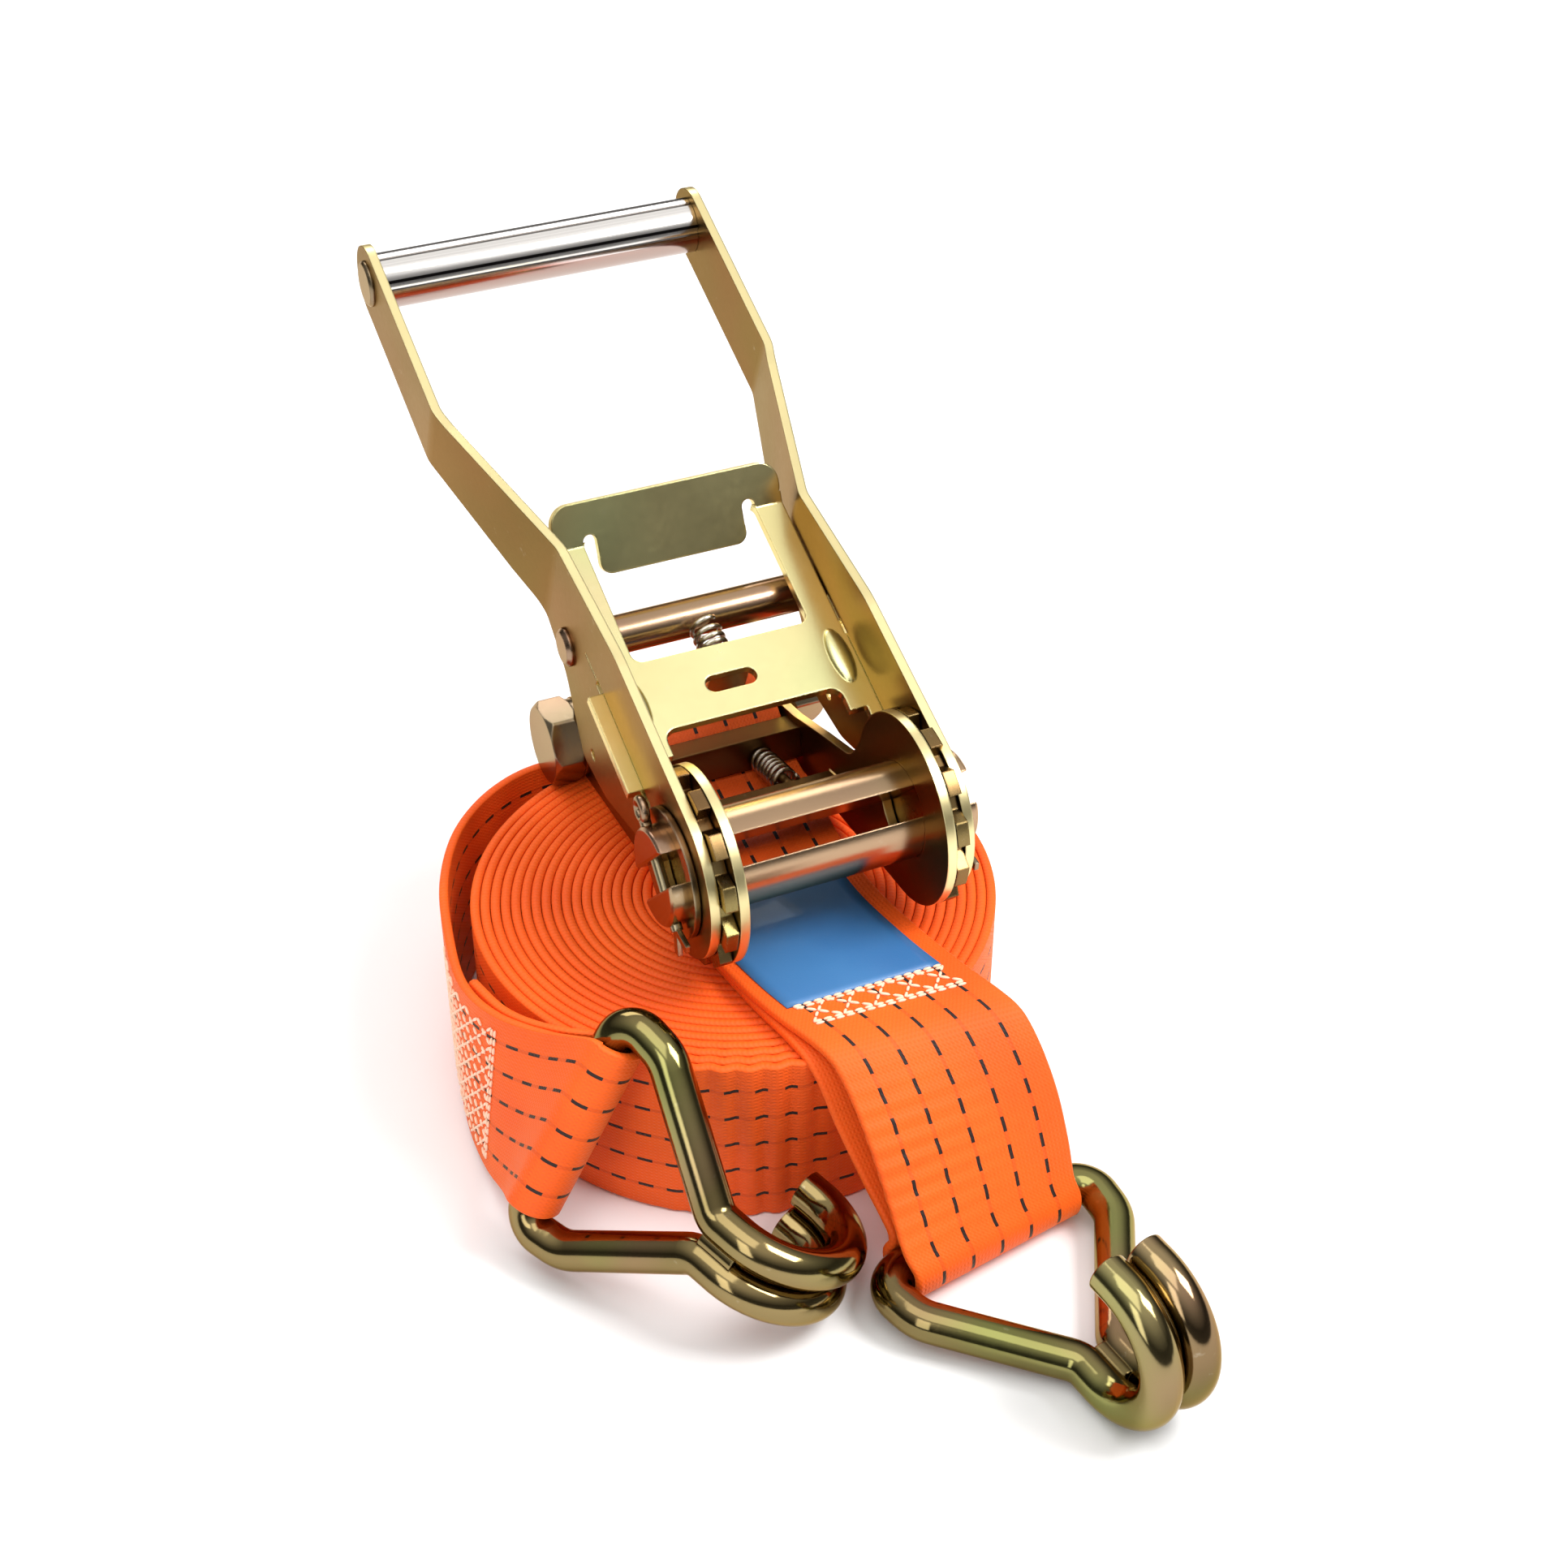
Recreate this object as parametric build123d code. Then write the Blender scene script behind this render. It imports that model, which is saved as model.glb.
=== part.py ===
from build123d import *
import os
from math import cos, radians, sin, sqrt, tan

# Ratchet tie down: a rolled long strap with its hook, and on top of the roll the ratchet
# with its short strap and second hook.  Millimetres, +Z up, origin at the centre of the
# roll's underside.  X runs along the ratchet's spool, Y from the spool to the anchor bolt.

# ---- straps -----------------------------------------------------------------------------
WEB_WIDTH = 50.0          # standard lashing webbing
WEB_THICK = 2.6
ROLL_RADIUS = 67.0
FLOOR_GAP = 0.2           # play between a strap and what it lies on
STRAP_YAW = 10.0          # the short strap leaves the ratchet turned this far to +X
STRAP_TURN_Y = -20.0
STRAP_LOW = FLOOR_GAP + WEB_WIDTH
STRAP_MID = STRAP_LOW + WEB_THICK
STRAP_TOP = STRAP_LOW + 2 * WEB_THICK
LABEL_HALF = 20.5
LABEL_LENGTH = 40.0
LABEL_THICK = 0.6
THREAD_HIGH = 0.5         # sewing thread stands this far above the webbing

# ---- spool ------------------------------------------------------------------------------
SPOOL_X, SPOOL_Y, SPOOL_Z = 10.5, -24.0, 81.0     # middle of the spool axis
SPOOL_RADIUS = 12.5
SPOOL_SLOT = 8.0
SPOOL_TURN = 45.0         # direction from the lower to the upper half shaft
SPOOL_HALF = 41.0
BORE_PLAY = 0.05
TEETH = 12
TIP_RADIUS = 25.0
ROOT_RADIUS = 20.8
TOOTH_BACK = 42.0         # slope of a tooth's back
COTTER_X = 38.7
COTTER_RADIUS = 1.5
COTTER_SPREAD = 38.0

# ---- plates, from the middle outwards ---------------------------------------------------
PLATE = 2.5               # pressed steel plate
BASE_IN = 26.0            # inner face of a base plate
SIDE_GAP = 0.3
WHEEL_THICK = 3.2
BASE_OUT = BASE_IN + PLATE
WHEEL_IN = BASE_OUT + SIDE_GAP
WHEEL_OUT = WHEEL_IN + WHEEL_THICK
GRIP_IN = WHEEL_OUT + SIDE_GAP                    # inner face of a handle plate
GRIP_OUT = GRIP_IN + PLATE
WASHER_IN = GRIP_OUT + SIDE_GAP
WASHER_THICK = 1.5
WASHER_RADIUS = 16.5

# ---- base -------------------------------------------------------------------------------
HEAD_RADIUS = 25.0        # front end of a base plate, round the spool
TAIL_RADIUS = 11.0        # rear end of a base plate, round the anchor bolt
BOLT_Y, BOLT_Z = 88.0, -19.7                      # anchor bolt from the spool axis
SLEEVE_RADIUS = 8.5
BOLT_RADIUS = 7.0
BOLT_FLATS = 21.0
BOLT_HEAD = 8.8
BOLT_WASHER = 1.6
BOLT_WASHER_RADIUS = 10.7
NUT_IN = BASE_OUT + BOLT_WASHER
NUT_HIGH = 10.5
LOCK_SLOPE = 12.0         # the lock pawl slides down and back at this slope
LOCK_TIP_ANGLE = -36.0
LOCK_TIP = 21.9
LOCK_N = LOCK_TIP * sin(radians(LOCK_TIP_ANGLE + LOCK_SLOPE))
LOCK_T = LOCK_TIP * cos(radians(LOCK_TIP_ANGLE + LOCK_SLOPE))
LOCK_FRONT = 28.5
LOCK_EAR_END = 37.0
LOCK_REAR = 45.0
LOCK_TRAVEL = 8.0
BRACKET_T = 64.0
SPRING_XS = (-14.0, 14.0)
SPRING_WIRE = 0.6
LOCK_SPRING_RADIUS = 3.2
STUD_RADIUS = 1.6

# ---- handle -----------------------------------------------------------------------------
HANDLE_ANGLE = 24.0       # handle above the floor as it stands
HANDLE_HEAD = 22.0
GRIP_S, GRIP_N = 201.0, -7.0                      # grip from the spool axis, in the handle
GRIP_END = 10.5           # round end of a handle plate
GRIP_RADIUS = 7.8
GRIP_ROD = 5.0
FLARE_START, FLARE_END = 90.0, 146.0
FLARE = 14.2              # how far each handle plate steps outwards
GRIP_HALF = GRIP_IN + FLARE
SPACER_S, SPACER_N = 75.0, -11.0
SPACER_RADIUS = 5.2
SPACER_ROD = 3.5
SLOT_PLAY = 0.7
PAWL_TIP = 25.4           # drive pawl tip from the spool axis, just clear of the teeth
PAWL_IN, PAWL_OUT = 4.2, 3.8                      # its travel into the teeth and outwards
PAWL_TOP = 97.0
PLATE_START = 26.0         # lower edge of the pull plate
WINDOW_HALF = 24.2
WINDOW_TOP_S = 78.0
WINDOW_TOP_LONG = 40.0
WINDOW_LOW_S = 28.75
WINDOW_LOW_LONG = 17.5
PAWL_RELIEF_X = 22.0       # the plate is cut away from here out to the wheels, over the base heads
EAR_START, EAR_END = 23.0, 52.0
EAR_IN = WHEEL_OUT + 0.2    # the ears stay clear of the wheels' faces
EAR_OUT = GRIP_OUT + 4.0
LIP_LEAN = 42.0
SPRING_SEAT = 54.0
SPRING_N = -6.5
DRIVE_SPRING_RADIUS = 3.6
DRIVE_SPRING_WIRE = 0.7

# ---- hooks ------------------------------------------------------------------------------
HOOK_WIRE = 5.0           # radius of the hook wire
HOOK_HALF = 31.8          # half width of the hook at its crossbar, between wire centres
HOOK_NECK = 5.4           # half distance of the two shanks
HOOK_SHOULDER = 14.0
HOOK_THROAT = 44.0        # where the two shanks meet, from the crossbar
HOOK_REACH = 51.0
HOOK_CURL = 17.8
HOOK_TIP = 4.0
HOOK2_X, HOOK2_Y, HOOK2_Z = 24.3, -98.0, 8.4      # crossbar of the hook on the short strap
HOOK2_DIP = 3.4
HOOK1_X, HOOK1_Y, HOOK1_Z = -63.3, -51.8, 38.5    # crossbar of the hook on the long strap
HOOK1_TURN = 25.0
HOOK1_DIP = 12.7
HOOK1_ROLL = 116.0
LOOP_IN = HOOK_WIRE + 0.3
LOOP_OUT = LOOP_IN + WEB_THICK

# The loose end of the long strap: its middle line in plan, from the back of the roll round
# the left side to the hook, and at each point how far its width has tilted to the hook's.
TAIL_LINE = [(-10, 68.8, 0), (-27, 69.5, 0), (-43, 63, 0), (-56, 50, 0), (-66, 32, 0), (-71.5, 12, 0),
             (-73, -8, 0.05), (-72, -25, 0.25), (-68, -40, 0.6), (-64, -48, 1.0)]
TAIL_DOUBLE = 5           # from this point on the strap is two layers, sewn together
TAIL_LIFT = 0.15


# ---- helpers --------------------------------------------------------------------------
def save(node, shape):
    shape.label = node
    export_step(shape, f"parts/{node}.step")


def at_spool(shape):
    return Pos(SPOOL_X, SPOOL_Y, SPOOL_Z) * shape


def at_handle(shape):
    return at_spool(Rot(HANDLE_ANGLE, 0, 0) * shape)


def slab(sketch, x0, x1):
    """Extrude a (Y, Z) sketch from x0 to x1."""
    return Pos(x0, 0, 0) * extrude(Plane.YZ * sketch, x1 - x0)


def bar(y, z, radius, x0, x1):
    """A round bar along X."""
    return slab(Pos(y, z) * Circle(radius), x0, x1)


def tube(y, z, outer, inner, x0, x1):
    return slab(Pos(y, z) * (Circle(outer) - Circle(inner)), x0, x1)


def outline(points, rounds):
    """A polygon whose corners are rounded by the radii in rounds, 0 for a sharp corner."""
    face = make_face(Polyline(*points, close=True))
    for (px, py), radius in zip(points, rounds):
        if radius:
            corner = face.vertices().sort_by_distance((px, py, 0))[0]
            face = fillet(corner, radius)
    return face


def mirrored(shape):
    return mirror(shape, Plane.YZ)


def block(x0, x1, y0, y1, z0, z1):
    return Pos((x0 + x1) / 2, (y0 + y1) / 2, (z0 + z1) / 2) * Box(x1 - x0, y1 - y0, z1 - z0)


# ---- spool ------------------------------------------------------------------------------
def half_disc(radius, offset, grow=0.0):
    """The part of a disc above a chord, as the half shafts have."""
    disc = Circle(radius + grow)
    low = offset - grow
    return disc & (Pos(0, low + radius) * Rectangle(4 * radius, 2 * radius))


def half_shaft(turn):
    profile = Rot(0, 0, turn - 90) * half_disc(SPOOL_RADIUS, SPOOL_SLOT / 2)
    shaft = slab(profile, -SPOOL_HALF, SPOOL_HALF)
    ends = shaft.faces().filter_by(Axis.X).sort_by(Axis.X)
    shaft = chamfer(ends[0].edges() + ends[-1].edges(), 0.6)
    for x in (-COTTER_X, COTTER_X):
        shaft -= Pos(x, 0, 0) * Rot(turn - 90, 0, 0) * Cylinder(COTTER_RADIUS + 0.1, 60)
    return shaft


def wheel_gap():
    """One tooth gap, drawn at the +Y side of the wheel."""
    top = TIP_RADIUS + 3
    back = tan(radians(TOOTH_BACK)) * (top - ROOT_RADIUS)
    points = [(ROOT_RADIUS, -1.6), (top, -2.0), (top, 1.7 + back), (ROOT_RADIUS, 1.7)]
    return make_face(Polyline(*points, close=True))


def ratchet_wheel(side):
    face = Circle(TIP_RADIUS)
    for k in range(TEETH):
        face -= Rot(0, 0, HANDLE_ANGLE + k * 360 / TEETH) * wheel_gap()
    for turn in (SPOOL_TURN, SPOOL_TURN + 180):
        face -= Rot(0, 0, turn - 90) * half_disc(SPOOL_RADIUS, SPOOL_SLOT / 2, BORE_PLAY)
    x0, x1 = (WHEEL_IN, WHEEL_OUT) if side > 0 else (-WHEEL_OUT, -WHEEL_IN)
    return slab(face, x0, x1)


def shaft_washers():
    ring = Circle(WASHER_RADIUS) - Circle(SPOOL_RADIUS + BORE_PLAY)
    right = slab(ring, WASHER_IN, WASHER_IN + WASHER_THICK)
    return Compound([right, mirrored(right)])


def cotter_pin(x):
    """A pin through both half shafts: an eye at the top and two spread legs below."""
    shank = Cylinder(COTTER_RADIUS, 2 * SPOOL_RADIUS + 3)
    eye = Pos(0, 0, SPOOL_RADIUS + 4.0) * Rot(0, 90, 0) * Torus(2.6, 1.2)
    pin = shank + eye
    for lean in (-COTTER_SPREAD, COTTER_SPREAD):
        leg = Pos(0, 0, -SPOOL_RADIUS - 1.0) * Rot(lean, 0, 0) * Pos(0, 0, -3.4) * Box(1.2, 2.2, 7.6)
        pin += leg
    return Pos(x, 0, 0) * Rot(SPOOL_TURN - 90, 0, 0) * pin


# ---- base -------------------------------------------------------------------------------
def lock_frame(shape):
    """Place a shape drawn with +Y along the lock pawl's travel."""
    return Rot(-LOCK_SLOPE, 0, 0) * shape


def base_plate(side):
    low_rear = BOLT_Z - TAIL_RADIUS
    arm = outline(
        [(0, -HEAD_RADIUS), (BOLT_Y, low_rear), (BOLT_Y, BOLT_Z + TAIL_RADIUS), (79, -17),
         (66, -14.5), (48, -9), (30, -4), (16, 19.0), (0, 20.0)],
        [0, 0, 0, 7, 20, 30, 9, 0, 0])
    face = Circle(HEAD_RADIUS) + arm + Pos(BOLT_Y, BOLT_Z) * Circle(TAIL_RADIUS)
    face -= Circle(SPOOL_RADIUS + BORE_PLAY)
    face -= Pos(BOLT_Y, BOLT_Z) * Circle(BOLT_RADIUS + BORE_PLAY)
    slot_start, slot_end = 26.4, LOCK_EAR_END + LOCK_TRAVEL + SLOT_PLAY
    slot = Rot(0, 0, -LOCK_SLOPE) * Pos((slot_start + slot_end) / 2, LOCK_N) * Rectangle(
        slot_end - slot_start, PLATE + SLOT_PLAY)
    face -= slot
    x0, x1 = (BASE_IN, BASE_OUT) if side > 0 else (-BASE_OUT, -BASE_IN)
    return slab(face, x0, x1)


def spring_bracket():
    """The bridge between the base plates that the lock pawl's springs push on."""
    low, top = LOCK_N - 2.3, LOCK_N + 6.5
    wall = block(-BASE_IN, BASE_IN, BRACKET_T, BRACKET_T + PLATE, low, top)
    flange = block(-BASE_IN, BASE_IN, BRACKET_T, BRACKET_T + 9, top - PLATE, top)
    ear = block(-BASE_IN, -BASE_IN + 13, BRACKET_T - 7, BRACKET_T + PLATE, top - PLATE, top)
    bracket = wall + flange + ear
    for x in SPRING_XS:
        stud = Pos(x, BRACKET_T - 2.5, LOCK_N) * Rot(90, 0, 0) * Cylinder(STUD_RADIUS, 5)
        bracket += stud
    return lock_frame(bracket)


def coil_spring(length, radius, turns, wire):
    """A closed-ended compression spring along +Z from z = 0."""
    pitch = (length - 2 * wire) / turns
    path = Helix(pitch=pitch, height=length - 2 * wire, radius=radius)
    start = path @ 0
    section = Plane(origin=start, x_dir=(1, 0, 0), z_dir=path % 0) * Circle(wire)
    return Pos(0, 0, wire) * sweep(section, path=path, is_frenet=True)


def lock_pawl():
    """A flat plate across the base with an ear through each side and a tip in each wheel."""
    half = PLATE / 2
    low, high = LOCK_N - half, LOCK_N + half
    inner = BASE_IN - SIDE_GAP
    pawl = block(-inner, inner, LOCK_FRONT, LOCK_REAR, low, high)
    pawl += block(-WHEEL_OUT, WHEEL_OUT, LOCK_FRONT, LOCK_EAR_END, low, high)
    for x0 in (-WHEEL_OUT, WHEEL_IN):
        pawl += block(x0, x0 + WHEEL_THICK, LOCK_T, LOCK_EAR_END, low, high)
    for x in SPRING_XS:
        stud = Pos(x, LOCK_REAR + 2.5, LOCK_N) * Rot(90, 0, 0) * Cylinder(STUD_RADIUS, 5)
        pawl += stud
    return lock_frame(pawl)


def lock_springs():
    length = BRACKET_T - LOCK_REAR
    coils = []
    for x in SPRING_XS:
        coil = coil_spring(length, LOCK_SPRING_RADIUS, 6, SPRING_WIRE)
        coils.append(lock_frame(Pos(x, LOCK_REAR, LOCK_N) * Rot(-90, 0, 0) * coil))
    return coils


def hex_prism(x0, x1):
    """A hexagon with one flat facing down and its corners rounded off."""
    radius = BOLT_FLATS / sqrt(3)
    face = Pos(BOLT_Y, BOLT_Z) * RegularPolygon(radius, 6)
    round_bar = bar(BOLT_Y, BOLT_Z, radius * 0.985, x0, x1)
    return slab(face, x0, x1) & chamfer(round_bar.edges().filter_by(GeomType.CIRCLE), 1.4)


def anchor_bolt():
    shank = bar(BOLT_Y, BOLT_Z, BOLT_RADIUS, -NUT_IN, NUT_IN + 13)
    head = hex_prism(-NUT_IN - BOLT_HEAD, -NUT_IN)
    return chamfer(shank.edges().sort_by(Axis.X)[-1], 1.2) + head


def anchor_nut():
    nut = hex_prism(NUT_IN, NUT_IN + NUT_HIGH)
    return nut - bar(BOLT_Y, BOLT_Z, BOLT_RADIUS + BORE_PLAY, NUT_IN - 1, NUT_IN + 14)


def anchor_washers():
    ring = tube(BOLT_Y, BOLT_Z, BOLT_WASHER_RADIUS, BOLT_RADIUS + 0.1, BASE_OUT, NUT_IN)
    return Compound([ring, mirrored(ring)])


def anchor_sleeve():
    edge = BASE_IN - 0.1
    return tube(BOLT_Y, BOLT_Z, SLEEVE_RADIUS, BOLT_RADIUS + BORE_PLAY, -edge, edge)


# ---- handle (drawn with +Y along the handle and +Z to its front) -------------------------
def handle_outline():
    top_edge, low_edge = GRIP_N + GRIP_END, GRIP_N - GRIP_END
    body = outline(
        [(0, HANDLE_HEAD), (50, 20.5), (90, 12), (141, top_edge), (GRIP_S, top_edge),
         (GRIP_S, low_edge), (150, low_edge), (106, -17), (94, -16), (74, -21),
         (56, -35), (40, -31), (20, -18), (0, -HANDLE_HEAD)],
        [0, 30, 30, 30, 0, 0, 40, 8, 12, 14, 5, 14, 0, 0])
    return Circle(HANDLE_HEAD) + body + Pos(GRIP_S, GRIP_N) * Circle(GRIP_END)


def handle_plate(side):
    inner, outer = GRIP_IN, GRIP_OUT
    far = GRIP_S + 30
    ribbon = outline(
        [(-60, inner), (FLARE_START, inner), (FLARE_END, inner + FLARE), (far, inner + FLARE),
         (far, outer + FLARE), (FLARE_END, outer + FLARE), (FLARE_START, outer), (-60, outer)],
        [0, 12, 12, 0, 0, 14, 12, 0])
    # the ribbon is drawn with X along the handle and Y outwards
    along_y = Plane(origin=(0, 0, -60), x_dir=(0, 1, 0), z_dir=(0, 0, 1))
    sheet = extrude(along_y * mirror(ribbon, Plane.XZ), 120)
    solid = slab(handle_outline(), GRIP_IN - 5, GRIP_OUT + FLARE + 5) & sheet
    solid -= bar(0, 0, SPOOL_RADIUS + BORE_PLAY, 0, 60)
    solid -= bar(GRIP_S, GRIP_N, GRIP_ROD + BORE_PLAY, 0, 60)
    solid -= bar(SPACER_S, SPACER_N, SPACER_ROD + BORE_PLAY, 0, 60)
    solid -= bar(51, -27, 1.6, 0, 60)
    slot_start, slot_end = EAR_START - PAWL_IN - SLOT_PLAY, EAR_END + PAWL_OUT + SLOT_PLAY
    slot = Pos((slot_start + slot_end) / 2, 0) * Rectangle(slot_end - slot_start, PLATE + SLOT_PLAY)
    relief = Pos(slot_end + 4, 0.6) * Rectangle(9, 0.8)
    solid -= slab(slot + relief, 0, 60)
    return solid if side > 0 else mirrored(solid)


def grip_tube():
    """A round tube with three shallow grooves along its front."""
    profile = Circle(GRIP_RADIUS) - Circle(GRIP_ROD + BORE_PLAY)
    for turn in (52, 84, 150):
        profile -= Rot(0, 0, turn) * Pos(GRIP_RADIUS, 0) * Rectangle(1.3, 1.0)
    edge = GRIP_HALF - 0.1
    return slab(Pos(GRIP_S, GRIP_N) * profile, -edge, edge)


def riveted_rod(y, z, radius, half, head_radius, head):
    """A rod through both handle plates with a domed rivet head at each end."""
    rod = bar(y, z, radius, -half, half)
    dome = bar(y, z, head_radius, half, half + head)
    dome = chamfer(dome.edges().sort_by(Axis.X)[-1], head * 0.6)
    return rod + dome + mirrored(dome)


def grip_rod():
    return riveted_rod(GRIP_S, GRIP_N, GRIP_ROD, GRIP_OUT + FLARE, 6.4, 1.2)


def spacer_rod():
    return riveted_rod(SPACER_S, SPACER_N, SPACER_ROD, GRIP_OUT, 5.2, 1.8)


def spacer_tube():
    edge = GRIP_IN - 0.1
    return tube(SPACER_S, SPACER_N, SPACER_RADIUS, SPACER_ROD + BORE_PLAY, -edge, edge)


def drive_pawl():
    """The pull plate: finger lip, two windows, side ears and a tip in each wheel."""
    half = PLATE / 2
    side = WHEEL_OUT - 0.1
    plate = Pos(0, (PLATE_START + PAWL_TOP) / 2) * Rectangle(2 * side, PAWL_TOP - PLATE_START)
    window_top = Pos(0, WINDOW_TOP_S) * RectangleRounded(2 * WINDOW_HALF, WINDOW_TOP_LONG, 3)
    window_low = Pos(0, WINDOW_LOW_S) * RectangleRounded(2 * WINDOW_HALF, WINDOW_LOW_LONG, 3.5)
    face = plate - window_top - window_low
    base_clear = HEAD_RADIUS + PAWL_IN + 0.8
    for x in (-1, 1):
        face += Pos(x * (WHEEL_IN + side) / 2, (PAWL_TIP + 40) / 2) * Rectangle(
            side - WHEEL_IN, 40 - PAWL_TIP)
        face += Pos(x * (EAR_OUT + EAR_IN) / 2, (EAR_START + EAR_END) / 2) * Rectangle(
            EAR_OUT - EAR_IN, EAR_END - EAR_START)
        face += Pos(x * (EAR_IN + WHEEL_IN) / 2, (PAWL_TIP + EAR_END) / 2) * Rectangle(
            EAR_IN - WHEEL_IN, EAR_END - PAWL_TIP)
        face -= Pos(x * (PAWL_RELIEF_X + WHEEL_IN) / 2, base_clear / 2) * Rectangle(
            WHEEL_IN - PAWL_RELIEF_X, base_clear)
    face -= Pos(-2.0, 47) * SlotOverall(14, 5)
    body = Pos(0, 0, -half) * extrude(face, PLATE)
    # stiffening bulges on the two limbs
    for x in (-1, 1):
        bulge = Pos(x * 28.0, 46, half) * scale(Sphere(3.0), (1, 2.8, 0.5))
        body += bulge
    return body + finger_lip()


def finger_lip():
    """The lip at the top, leaning to the front, with a tab down into the window."""
    half = PLATE / 2
    side = WHEEL_OUT - 0.1
    lip = Pos(0, 6.0) * RectangleRounded(2 * side, 12.0, 5.5)
    lip += Pos(0, 1.5) * Rectangle(2 * side, 4.0)
    lip += Pos(0, -2.5) * RectangleRounded(2 * 20.5, 11, 3)
    for x in (-1, 1):
        lip -= Pos(x * 22.3, 1.3) * Circle(1.9)
        lip -= Pos(x * 22.3, -1.0) * Rectangle(3.8, 4.6)
    lip_solid = Pos(0, 0, -half) * extrude(lip, PLATE)
    return Pos(0, PAWL_TOP - 0.8, 0) * Rot(LIP_LEAN, 0, 0) * lip_solid


def drive_spring():
    length = SPACER_S - SPACER_RADIUS - SPRING_SEAT
    coil = coil_spring(length, DRIVE_SPRING_RADIUS, 5, DRIVE_SPRING_WIRE)
    return Pos(0, SPRING_SEAT, SPRING_N) * Rot(-90, 0, 0) * coil


def spring_tab():
    """The tab bent down from the pull plate that its spring pushes on."""
    face = SPRING_SEAT - 0.2
    tab = block(-5.5, 5.5, face - PLATE, face, SPRING_N - 5, 0)
    stud = Pos(0, face + 1.7, SPRING_N) * Rot(90, 0, 0) * Cylinder(STUD_RADIUS + 0.2, 4)
    return tab + stud


# ---- hooks ------------------------------------------------------------------------------
def hook_path(side):
    """One half of the wire: crossbar, shoulder, shank and curl."""
    x = side * HOOK_NECK
    run = FilletPolyline((0, 0, 0), (side * HOOK_HALF, 0, 0), (side * (HOOK_HALF - 2), -HOOK_SHOULDER, 0),
                         (x, -HOOK_THROAT, 0), (x, -HOOK_REACH, 0), radius=[6.5, 12.0, 7.0])
    bend = HOOK_CURL * sin(radians(45))
    start = Vector(x, -HOOK_REACH, 0)
    outer = Vector(x, -HOOK_REACH - HOOK_CURL, HOOK_CURL)
    back = Vector(x, -HOOK_REACH, 2 * HOOK_CURL)
    lower = ThreePointArc(start, Vector(x, -HOOK_REACH - bend, HOOK_CURL - bend), outer)
    upper = ThreePointArc(outer, Vector(x, -HOOK_REACH - bend, HOOK_CURL + bend), back)
    tip = Line(back, back + Vector(0, HOOK_TIP, 0))
    return Wire(run.edges() + lower.edges() + upper.edges() + tip.edges())


def hook():
    """A double J hook bent from one wire, its two shanks welded together at the throat."""
    halves = []
    for side in (-1, 1):
        section = Plane(origin=(0, 0, 0), z_dir=(side, 0, 0)) * Circle(HOOK_WIRE)
        halves.append(sweep(section, path=hook_path(side), transition=Transition.ROUND))
    weld = Pos(0, 2 - HOOK_REACH, 0) * Rot(90, 0, 0) * Cylinder(3.4, 10)
    return halves[0] + halves[1] + weld


# ---- straps -----------------------------------------------------------------------------
def place_hook2(shape):
    return Pos(HOOK2_X, HOOK2_Y, HOOK2_Z) * Rot(0, 0, STRAP_YAW) * Rot(HOOK2_DIP, 0, 0) * shape


def place_hook1(shape):
    """Lay the hook on its side, with its crossbar standing in the strap's loop."""
    turned = Rot(0, 0, HOOK1_TURN) * Rot(HOOK1_DIP, 0, 0) * Rot(0, HOOK1_ROLL, 0)
    return Pos(HOOK1_X, HOOK1_Y, HOOK1_Z) * turned * shape


def loop_axis():
    """The direction, upwards, of the crossbar that stands in the tail's loop."""
    bar_axis = place_hook1(Edge.make_line((0, 0, 0), (-1, 0, 0)))
    return (bar_axis @ 1 - bar_axis @ 0).normalized()


def strap_roll():
    return extrude(Circle(ROLL_RADIUS), WEB_WIDTH)


def tail_section(k):
    """The strap's cross section at one point of the tail line."""
    x, y, tilt = TAIL_LINE[k]
    before, after = TAIL_LINE[max(k - 1, 0)], TAIL_LINE[min(k + 1, len(TAIL_LINE) - 1)]
    ahead = Vector(after[0] - before[0], after[1] - before[1], 0).normalized()
    lean = loop_axis() * tilt + Vector(0, 0, 1) * (1 - tilt)
    thick = 2 * WEB_THICK if k >= TAIL_DOUBLE else WEB_THICK
    rise = (HOOK1_Z - WEB_WIDTH / 2) * tilt + WEB_WIDTH / 2 + TAIL_LIFT
    side = ahead.cross(lean).normalized()
    plane = Plane(origin=(x, y, rise), x_dir=side, z_dir=side.cross(lean.normalized()))
    return plane * Rectangle(thick, WEB_WIDTH - 0.1)


def strap_tail():
    sections = [tail_section(k) for k in range(len(TAIL_LINE))]
    loose = loft(sections[:TAIL_DOUBLE + 1], ruled=True) + loft(sections[TAIL_DOUBLE:], ruled=True)
    loop = Rot(0, 90, 0) * Cylinder(LOOP_OUT, WEB_WIDTH - 0.1)
    hole = Rot(0, 90, 0) * Cylinder(LOOP_IN, WEB_WIDTH + 20)
    return loose + place_hook1(loop) - place_hook1(hole)


def along_strap(shape):
    """Place a shape whose +Y runs back from the hook along the strap's turned front part."""
    return Pos(SPOOL_X, STRAP_TURN_Y, 0) * Rot(0, 0, STRAP_YAW) * shape


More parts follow.
